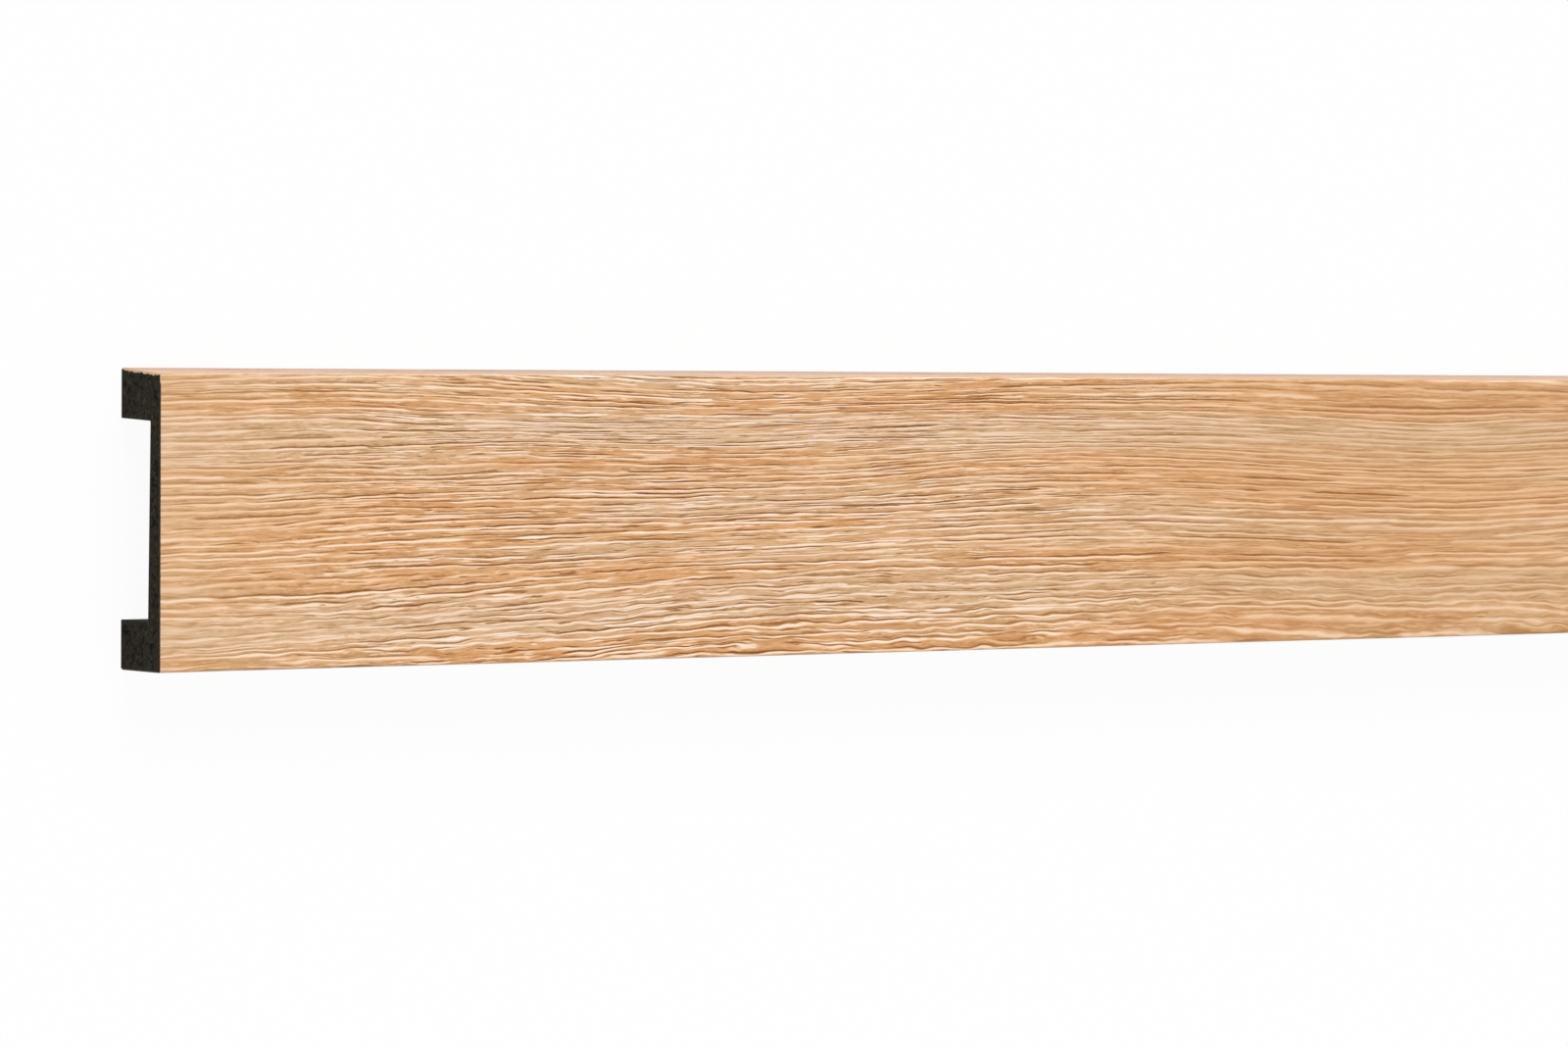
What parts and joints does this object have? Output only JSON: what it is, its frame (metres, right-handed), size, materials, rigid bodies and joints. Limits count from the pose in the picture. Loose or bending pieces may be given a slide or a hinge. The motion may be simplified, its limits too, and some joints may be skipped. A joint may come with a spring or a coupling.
{
  "type": "wood-look channel moulding",
  "caption": "Straight flat moulding of dark foamed polymer with a wood-grain foil over its face and edges, and a wide channel between two feet on its back.",
  "frame": {"origin": "middle of the footprint, on the plane that the backs of the feet lie on", "axes": "+X along the length, +Y across the width towards the edge that is uppermost in the picture, +Z out of the face"},
  "size_m": [2, 0.06, 0.016],
  "materials": {
    "foam_core": "black foamed polystyrene: a smooth satin extruded skin, and open cells on the sawn ends",
    "wood_foil": "printed oak decor foil, matt, with embossed grain along the length"
  },
  "bodies": {
    "root": {"core": "foam_core", "foil": "wood_foil"}
  },
  "joints": []
}
